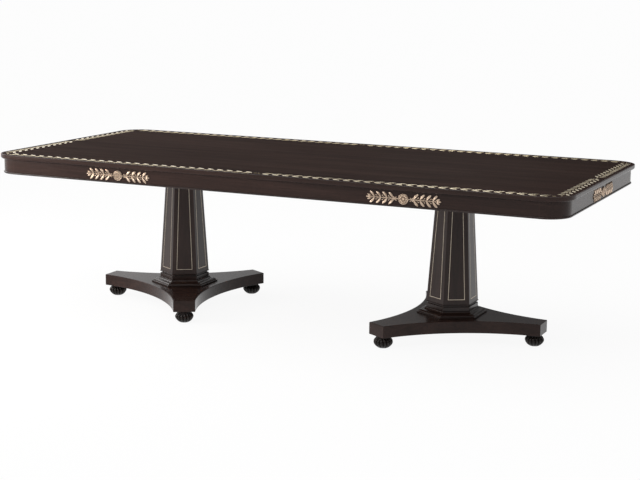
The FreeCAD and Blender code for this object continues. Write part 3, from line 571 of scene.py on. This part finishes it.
def metal(name, bright, dull, wax_shade, roughness, wax_shade_depth, lacquer):
    """Brass, gilding or steel: tarnish in patches, dark wax and painted shade in the hollows, bright
    worn edges with painted highlights.
    """
    material, tree, shader = new_material(name)
    place = node(tree, "TexCoord").outputs["Object"]
    tone = effect(tree, "metal_tone", Place=place)
    hollow = effect(tree, "recess_wax_and_shade", Depth=wax_shade_depth)["Dirt"]
    arris_mask = effect(tree, "arris_wear_and_highlight", Width=metal_arris_width)["Rub"]
    colour = blend(tree, part_of(tree, metal_tarnish_share, tone["Tarnish"]), bright, dull)
    # Painted highlight: the arrises and raised edges lighten to the bright metal, both for wear and
    # for the light they catch
    colour = blend(tree, part_of(tree, metal_arris_share, arris_mask), colour, bright)
    # Painted shade: the hollows darken towards the dark wax colour, both for wax left there and for
    # the shade that falls there
    colour = blend(tree, part_of(tree, metal_wax_shade_share, hollow), colour, wax_shade)
    tree.links.new(colour, shader.inputs["Base Color"])
    rough_range = (roughness - metal_smoother, roughness + metal_rougher)
    rough = spread(tree, tone["Tarnish"], 0.0, 1.0, *rough_range)
    dirty = maths(tree, "ADD", rough, part_of(tree, metal_hollow_rougher, hollow), True)
    tree.links.new(dirty, shader.inputs["Roughness"])
    metallic = spread(tree, hollow, 0.0, 1.0, 1.0, metal_hollow_metallic)
    tree.links.new(metallic, shader.inputs["Metallic"])
    shader.inputs["Coat Weight"].default_value = lacquer
    shader.inputs["Coat Roughness"].default_value = metal_lacquer_roughness
    bumped(tree, shader, tone["Scratches"], *metal_relief)
    return material


def pale_floor():
    """White studio floor that still takes the table's shadow."""
    material = bpy.data.materials.new("pale_floor")
    material.use_nodes = True
    tree = material.node_tree
    tree.nodes.clear()
    paint = node(tree, "BsdfDiffuse", {"Color": floor_paint}).outputs[0]
    glow = node(tree, "Emission", {"Color": white, "Strength": 1.0}).outputs[0]
    rays = node(tree, "LightPath").outputs
    seen = maths(tree, "MAXIMUM", rays["Is Camera Ray"], rays["Is Glossy Ray"])
    seen = maths(tree, "MAXIMUM", seen, rays["Is Transmission Ray"])
    share = part_of(tree, floor_white_share, seen)
    mixed = node(tree, "MixShader", {0: share, 1: paint, 2: glow}).outputs[0]
    node(tree, "OutputMaterial", {"Surface": mixed})
    return material


finishes = {name: mahogany(*values) for name, values in mahogany_finishes.items()}
finishes.update({name: plain_hardwood(*values) for name, values in hardwood_finishes.items()})
finishes.update({name: metal(*values) for name, values in metal_finishes.items()})


# Meshes

def piece(name, mesh, finish, stands_for, sharp_angle):
    """Places a finished bmesh on its body, in the stead of this CAD node."""
    data = bpy.data.meshes.new(name)
    bmesh.ops.recalc_face_normals(mesh, faces=mesh.faces)
    mesh.to_mesh(data)
    mesh.free()
    data.shade_smooth()
    data.set_sharp_from_angle(angle=sharp_angle)
    return placed(name, data, finish, stands_for)


def placed(name, data, finish, stands_for):
    data.materials.clear()
    data.materials.append(finishes[finish])
    made = bpy.data.objects.new(name, data)
    bpy.context.scene.collection.objects.link(made)
    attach(made, body_of(stands_for))
    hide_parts(stands_for)
    return made


def body_of(name):
    return nodes[name]["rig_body"]


def met_at_seam(name, finish):
    """A CAD piece of a half, brought up to the table's middle so that the closed halves touch."""
    data = nodes[name].data.copy()
    for vertex in data.vertices:
        if abs(vertex.co.x) < seam_reach:
            vertex.co.x = 0.0
    placed(name + "_met", data, finish, name)


def eased(name, finish, width):
    """A CAD piece with its arrises rounded by this width."""
    mesh = bmesh.new()
    mesh.from_mesh(nodes[name].data)
    bmesh.ops.remove_doubles(mesh, verts=mesh.verts, dist=weld_distance)
    bmesh.ops.dissolve_limit(mesh, angle_limit=flat_angle, verts=mesh.verts, edges=mesh.edges)
    inner = [edge for edge in mesh.edges if len(edge.link_faces) == 2]
    arrises = [edge for edge in inner if edge.calc_face_angle(0.0) > arris_angle]
    bmesh.ops.bevel(
        mesh, geom=arrises, offset=width, offset_type="OFFSET", segments=arris_segments,
        profile=arris_profile, affect="EDGES", clamp_overlap=True,
    )
    made = piece(name + "_eased", mesh, finish, name, eased_sharp_angle)
    flat_faces = made.modifiers.new("flat_faces", "WEIGHTED_NORMAL")
    flat_faces.keep_sharp = True


def round_angles(turns):
    return [2 * math.pi * step / turns for step in range(turns)]


def closed_from_rings(mesh, rings):
    """Skins rings of points, all of one length, and caps the first and last ring."""
    loops = [[mesh.verts.new(point) for point in ring] for ring in rings]
    count = len(loops[0])
    for below, above in zip(loops, loops[1:]):
        for step in range(count):
            after = (step + 1) % count
            mesh.faces.new((below[step], below[after], above[after], above[step]))
    mesh.faces.new(list(reversed(loops[0])))
    mesh.faces.new(loops[-1])


# Carved feet

def carved_foot(name):
    """Bun with grooves between its lobes, from the floor up to the neck under the base."""
    low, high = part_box(name)
    centre = (low + high) / 2
    radius = (high.x - low.x) / 2
    base_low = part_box(name.split("_")[0] + "_base_plate")[0]
    height = base_low.z - low.z
    mesh = bmesh.new()
    rings = []
    for up, out, carved in bun_shares + neck_shares:
        ring = []
        for angle in round_angles(foot_turns):
            lobe = abs(math.sin(foot_lobes * angle / 2)) ** foot_lobe_power
            reach = radius * out * (1 - foot_groove_share * carved * (1 - lobe))
            x = centre.x + reach * math.cos(angle)
            y = centre.y + reach * math.sin(angle)
            ring.append((x, y, low.z + up * height))
        rings.append(ring)
    closed_from_rings(mesh, rings)
    piece(name + "_carved", mesh, "foot", name, foot_sharp_angle)


# Gilt mounts, made flat in X and Y with Z away from the apron

def leaf_outline(along):
    """Width of a cast leaf as a share of its greatest: a narrow root, widest past the middle."""
    greatest = leaf_widest_share ** leaf_root_power * (1 - leaf_widest_share) ** leaf_tip_power
    blade = along ** leaf_root_power * max(0.0, 1 - along) ** leaf_tip_power / greatest
    return max(blade, leaf_root_share) if along < leaf_root_end_share else blade


def leaf_lift(along, across):
    """Height of a cast leaf as a share of its rise: rim, crowned halves, midrib and cut veins."""
    late, full = leaf_swell_powers
    swell = math.sin(math.pi * along ** late) ** full if 0 < along < 1 else 0.0
    crown = (1 - across ** 2) ** leaf_crown_power if abs(across) < 1 else 0.0
    midrib = math.exp(-(across / midrib_width_share) ** 2)
    wave = math.cos(2 * math.pi * (vein_count * along - vein_slant * abs(across)))
    veins = (1 + wave) / 2 * (1 - midrib) * crown
    relief = crown - midrib_depth_share * midrib - vein_depth_share * veins
    return leaf_rim_share + (1 - leaf_rim_share) * swell * relief


def cast_leaf(mesh, place, flip, bend, length, width, rise):
    """Leaf that bends from its first angle to its second."""
    spot = Vector((0, 0, 0))
    top = []
    base = []
    for row in range(leaf_rows + 1):
        along = row / leaf_rows
        angle = bend[0] + (bend[1] - bend[0]) * along
        sideways = Vector((-math.sin(angle), math.cos(angle), 0))
        half = width / 2 * leaf_outline(along)
        upper = []
        lower = []
        for column in range(leaf_columns + 1):
            across = 2 * column / leaf_columns - 1
            point = spot + sideways * (half * across)
            flat = place + Vector((point.x * flip.x, point.y * flip.y, 0))
            upper.append(mesh.verts.new(flat + Vector((0, 0, rise * leaf_lift(along, across)))))
            lower.append(mesh.verts.new(flat))
        top.append(upper)
        base.append(lower)
        spot += Vector((math.cos(angle), math.sin(angle), 0)) * (length / leaf_rows)
    rim = []
    for row in range(leaf_rows):
        after = row + 1
        for column in range(leaf_columns):
            beside = column + 1
            near, far = top[row], top[after]
            mesh.faces.new((near[column], far[column], far[beside], near[beside]))
            near, far = base[row], base[after]
            mesh.faces.new((near[column], near[beside], far[beside], far[column]))
        rim += [((row, 0), (after, 0)), ((row, leaf_columns), (after, leaf_columns))]
    for column in range(leaf_columns):
        rim += [((0, column), (0, column + 1)), ((leaf_rows, column), (leaf_rows, column + 1))]
    for (row, column), (after, beside) in rim:
        upper = (top[after][beside], top[row][column])
        mesh.faces.new(upper + (base[row][column], base[after][beside]))


def half_ball(mesh, centre, radius):
    rings = []
    for row in range(ball_rows):
        lift = math.pi / 2 * row / ball_rows
        out = radius * math.cos(lift)
        up = radius * math.sin(lift)
        angles = round_angles(ball_turns)
        ring = [Vector((out * math.cos(angle), out * math.sin(angle), up)) for angle in angles]
        rings.append([centre + point for point in ring])
    ground = [Vector((point.x, point.y, 0)) for point in rings[0]]
    closed_from_rings(mesh, [ground] + rings)


def half_round(mesh, start, end, start_radius, end_radius, rise):
    """Half-round stem that lies on the apron."""
    direction = (end - start).normalized()
    sideways = Vector((-direction.y, direction.x, 0))
    rings = []
    for point, radius in ((start, start_radius), (end, end_radius)):
        ring = []
        for step in range(stem_turns + 1):
            angle = math.pi * step / stem_turns
            lift = Vector((0, 0, rise * math.sin(angle)))
            ring.append(point + sideways * (radius * math.cos(angle)) + lift)
        rings.append(ring)
    closed_from_rings(mesh, rings)


def rosette_petal(out, angle):
    """Height of the petals as a share of the rosette's radius: folded, with a rib along each."""
    if not petal_start_share < out < petal_end_share:
        return 0.0
    along = (out - petal_start_share) / (petal_end_share - petal_start_share)
    late, full = petal_swell_powers
    swell = math.sin(math.pi * along ** late) ** full
    fold = abs(math.cos(rosette_petals * angle / 2))
    rib = petal_rib_share * math.exp(-((1 - fold) / petal_rib_width_share) ** 2)
    return petal_height_share * swell * (fold ** petal_fold_power - rib)


def rosette_boss(out, angle):
    """Height of the lobed boss as a share of the rosette's radius."""
    if out >= boss_share:
        return 0.0
    lobes = math.cos(boss_lobes * angle) * min(1.0, out / boss_smooth_share)
    dome = math.sqrt(max(0.0, 1 - (out / boss_share) ** 2))
    return boss_height_share * dome * (1 - boss_lobe_share + boss_lobe_share * lobes)


def rosette_height(out, angle):
    """Height over the rosette as a share of its radius: ground, petals, boss and two rings."""
    height = rosette_ground_share + rosette_petal(out, angle) + rosette_boss(out, angle)
    for middle, half, ring_height in rosette_ring_shares:
        away = (out - middle) / half
        if abs(away) < 1:
            height += ring_height * math.sqrt(1 - away ** 2)
    return height


def rosette(mesh, radius):
    angles = round_angles(rosette_turns)
    rings = [[Vector((radius * math.cos(a), radius * math.sin(a), 0)) for a in angles]]
    for row in range(rosette_rows, 0, -1):
        out = row / rosette_rows
        ring = []
        for angle in angles:
            x = radius * out * math.cos(angle)
            y = radius * out * math.sin(angle)
            ring.append(Vector((x, y, radius * rosette_height(out, angle))))
        rings.append(ring)
    closed_from_rings(mesh, rings)


def spray(mesh, side, length, radius):
    """Laurel spray from the rosette outwards: bow, stem, leaf pairs with berries, and tip."""
    def place(x, y=0.0):
        return Vector((side * x, y, 0))

    def leaf(x, up, bend, size, width, forward=1):
        cast_leaf(mesh, place(x), Vector((side * forward, up)), bend, size, width, spray_rise)

    def stem(start, end, radius_shares, rise_share):
        radii = [stem_radius * share for share in radius_shares]
        half_round(mesh, start, end, *radii, spray_rise * rise_share)

    tip = length - tip_length
    stem_end = place(tip + stem_radius)
    stem(place(radius * stem_start_share), stem_end, stem_taper_shares, stem_rise_share)
    bow = radius + bow_place
    for forward in (-1, 1):
        for up in (-1, 1):
            leaf(bow, up, bow_bend, bow_length, bow_width, forward)
    half_ball(mesh, place(bow), stem_radius * bow_knot_share)
    step = (last_leaf_tip - first_leaf_tip) / (leaf_pairs - 1)
    for pair in range(leaf_pairs):
        root = first_leaf_tip + step * pair - leaf_reach
        stalk = place(root + leaf_reach * berry_stalk_start_share)
        for up in (-1, 1):
            leaf(root, up, leaf_bend, leaf_length, leaf_width)
            berry = place(root + leaf_reach * berry_along_share, up * berry_place)
            stem(stalk, berry, berry_stalk_shares, berry_stalk_rise_share)
            half_ball(mesh, berry, berry_radius)
    for up in (-1, 1):
        leaf(tip, up, tip_bend, tip_length * tip_side_share, tip_width)
    leaf(tip, 1, (0.0, 0.0), tip_length, tip_width)


def mount_matrix(name):
    """Turns a flat mount onto its apron. Its back is the side nearest the table's middle."""
    low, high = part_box(name)
    centre = (low + high) / 2
    if "front" in name:
        outward = Vector((0, -1, 0))
        place = Vector((centre.x, high.y, centre.z))
    elif "back" in name:
        outward = Vector((0, 1, 0))
        place = Vector((centre.x, low.y, centre.z))
    else:
        outward = Vector((math.copysign(1, centre.x), 0, 0))
        place = Vector((high.x if centre.x < 0 else low.x, centre.y, centre.z))
    along = Vector((0, 0, 1)).cross(outward)
    turn = Matrix((along, Vector((0, 0, 1)), outward)).transposed().to_4x4()
    return Matrix.Translation(place) @ turn


def laurel_mount(name):
    low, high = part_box(name)
    length = max(high.x - low.x, high.y - low.y) / 2
    mesh = bmesh.new()
    rosette(mesh, rosette_radius)
    for side in (-1, 1):
        spray(mesh, side, length, rosette_radius)
    bmesh.ops.remove_doubles(mesh, verts=mesh.verts, dist=fine_weld_distance)
    bmesh.ops.transform(mesh, matrix=mount_matrix(name), verts=mesh.verts)
    piece(name + "_cast", mesh, "gilding", name, mount_sharp_angle)


# Inlaid border

def islands(name):
    """The points of each leaf and berry of the CAD border, as flat points."""
    mesh = bmesh.new()
    mesh.from_mesh(nodes[name].data)
    bmesh.ops.remove_doubles(mesh, verts=mesh.verts, dist=weld_distance)
    waiting = set(mesh.verts)
    found = []
    while waiting:
        stack = [waiting.pop()]
        points = []
        while stack:
            vertex = stack.pop()
            points.append(Vector((vertex.co.x, vertex.co.y)))
            for edge in vertex.link_edges:
                other = edge.other_vert(vertex)
                if other in waiting:
                    waiting.remove(other)
                    stack.append(other)
        found.append(points)
    mesh.free()

    def order(points):
        return round(points[0].x, sorting_digits), round(points[0].y, sorting_digits)

    return sorted(found, key=order)


def long_axis(points):
    """The two ends of a leaf, found by walking to the farthest point twice."""
    start = max(points, key=lambda point: (point - points[0]).length)
    end = max(points, key=lambda point: (point - start).length)
    return start, end


def inlaid_leaf(mesh, root, tip, width, top, bottom):
    """Flush leaf, slightly crowned each side of an engraved midrib."""
    along_axis = tip - root
    length = along_axis.length
    along_axis.normalize()
    across_axis = Vector((-along_axis.y, along_axis.x))
    bulge = (length ** 2 / 4 + width ** 2 / 4) / width
    grid = []
    for row in range(inlay_rows + 1):
        along = length * row / inlay_rows
        arc = math.sqrt(max(0.0, bulge ** 2 - (along - length / 2) ** 2))
        half = arc - (bulge - width / 2)
        fade = math.sin(math.pi * row / inlay_rows)
        line = []
        for column in range(inlay_columns + 1):
            across = 2 * column / inlay_columns - 1
            spot = root + along_axis * along + across_axis * (half * across)
            cut = inlay_groove * fade if column == inlay_columns // 2 else 0.0
            lift = inlay_crown * fade * (1 - across ** 2) - cut
            line.append(mesh.verts.new((spot.x, spot.y, top + lift)))
        grid.append(line)
    for below, above in zip(grid, grid[1:]):
        for column in range(inlay_columns):
            beside = column + 1
            mesh.faces.new((below[column], above[column], above[beside], below[beside]))
    rim = [line[0] for line in grid] + [line[-1] for line in reversed(grid)]
    sunk = [mesh.verts.new((vertex.co.x, vertex.co.y, bottom)) for vertex in rim]
    for step in range(len(rim)):
        after = (step + 1) % len(rim)
        mesh.faces.new((rim[step], rim[after], sunk[after], sunk[step]))
    mesh.faces.new(sunk)


def inlaid_berry(mesh, centre, radius, top, bottom):
    rings = []
    for out, lift in inlay_berry_shares:
        z = bottom if lift is None else top + inlay_crown * lift
        reach = radius * out
        ring = []
        for angle in round_angles(inlay_berry_turns):
            x = centre.x + reach * math.cos(angle)
            ring.append((x, centre.y + reach * math.sin(angle), z))
        rings.append(ring)
    closed_from_rings(mesh, rings)


def laurel_inlay(name):
    """Every leaf and berry of a half's border. Leaves point away from the middle of their side."""
    low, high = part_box(name)
    mesh = bmesh.new()
    long_side = abs(cad_box[0].y) - inlay_band
    for points in islands(name):
        start, end = long_axis(points)
        middle = (start + end) / 2
        across = Vector((start.y - end.y, end.x - start.x)).normalized()
        width = 2 * max(abs((point - middle).dot(across)) for point in points)
        if width > inlay_round_share * (end - start).length:
            inlaid_berry(mesh, middle, width / 2, high.z, low.z)
            continue
        if abs(middle.y) > long_side:
            outward = (end.x - start.x) * middle.x
        else:
            outward = (end.y - start.y) * middle.y
        root, tip = (start, end) if outward > 0 else (end, start)
        inlaid_leaf(mesh, root, tip, width, high.z, low.z)
    bmesh.ops.remove_doubles(mesh, verts=mesh.verts, dist=fine_weld_distance)
    piece(name + "_engraved", mesh, "inlay", name, inlay_sharp_angle)


# The whole table

for name in sorted(nodes):
    part = name.split("_", 1)[1] if name.startswith(sides) else name
    if part in cad_finishes:
        nodes[name].material_slots[0].material = finishes[cad_finishes[part]]
    elif part in seam_pieces:
        met_at_seam(name, seam_pieces[part])
    elif part in eased_pieces:
        eased(name, *eased_pieces[part])
    elif part.startswith("foot_"):
        carved_foot(name)
    elif part.endswith("_mount"):
        laurel_mount(name)
    elif part == "border_leaves":
        laurel_inlay(name)


# Studio

def floor():
    mesh = bmesh.new()
    corners = [(-1, -1), (1, -1), (1, 1), (-1, 1)]
    level = cad_box[0].z
    places = [(x * floor_reach, y * floor_reach, level) for x, y in corners]
    mesh.faces.new([mesh.verts.new(place) for place in places])
    data = bpy.data.meshes.new("floor")
    mesh.to_mesh(data)
    mesh.free()
    data.materials.append(pale_floor())
    made = bpy.data.objects.new("floor", data)
    bpy.context.scene.collection.objects.link(made)


def sky():
    """Light from above and in front, a bright wall on the left and a dark one behind.

    The camera itself sees a white backdrop."""
    world = bpy.data.worlds.new("studio")
    bpy.context.scene.world = world
    world.use_nodes = True
    tree = world.node_tree
    tree.nodes.clear()
    direction = node(tree, "TexCoord").outputs["Generated"]
    parts = node(tree, "SeparateXYZ", {0: direction}).outputs
    wall = spread(tree, parts["X"], *wall_turn, *wall_levels)
    front = spread(tree, parts["X"], *front_turn, *front_levels)
    ceiling = spread(tree, parts["Y"], *back_turn, front, back_level)
    level = spread(tree, parts["Z"], *ceiling_turn, wall, ceiling)
    in_view = node(tree, "LightPath").outputs["Is Camera Ray"]
    strength = spread(tree, in_view, 0.0, 1.0, level, backdrop_white)
    light = node(tree, "Background", {"Color": white, "Strength": strength}).outputs[0]
    node(tree, "OutputWorld", {"Surface": light})


def softbox(name, place, target, width, height, radiance, colour, mirrored):
    """Rectangular lamp whose surface shines at this level, where 1 is white."""
    data = bpy.data.lights.new(name, "AREA")
    data.shape = "RECTANGLE"
    data.size = width
    data.size_y = height
    data.energy = radiance * math.pi * width * height
    data.color = colour
    made = bpy.data.objects.new(name, data)
    made.location = place
    aim = Vector(target) - Vector(place)
    made.rotation_euler = aim.to_track_quat("-Z", "Y").to_euler()
    made.visible_camera = False
    made.visible_glossy = mirrored
    bpy.context.scene.collection.objects.link(made)


def camera():
    forward = Vector((
        -math.sin(camera_yaw) * math.cos(camera_pitch),
        math.cos(camera_yaw) * math.cos(camera_pitch),
        -math.sin(camera_pitch),
    ))
    level = Vector((math.cos(camera_yaw), math.sin(camera_yaw), 0))
    upright = level.cross(forward)
    right = level * math.cos(camera_roll) + upright * math.sin(camera_roll)
    up = upright * math.cos(camera_roll) - level * math.sin(camera_roll)
    data = bpy.data.cameras.new("camera")
    data.sensor_fit = "HORIZONTAL"
    data.sensor_width = camera_sensor
    data.lens = photo_focal_pixels * camera_sensor / photo_width
    data.clip_end = camera_far
    made = bpy.data.objects.new("camera", data)
    turn = Matrix((right, up, -forward)).transposed().to_4x4()
    made.matrix_world = Matrix.Translation(camera_place) @ turn
    bpy.context.scene.collection.objects.link(made)
    bpy.context.scene.camera = made


floor()
sky()
for name, values in lamps.items():
    softbox(name, *values)
camera()
bpy.context.scene.view_settings.view_transform = "Standard"
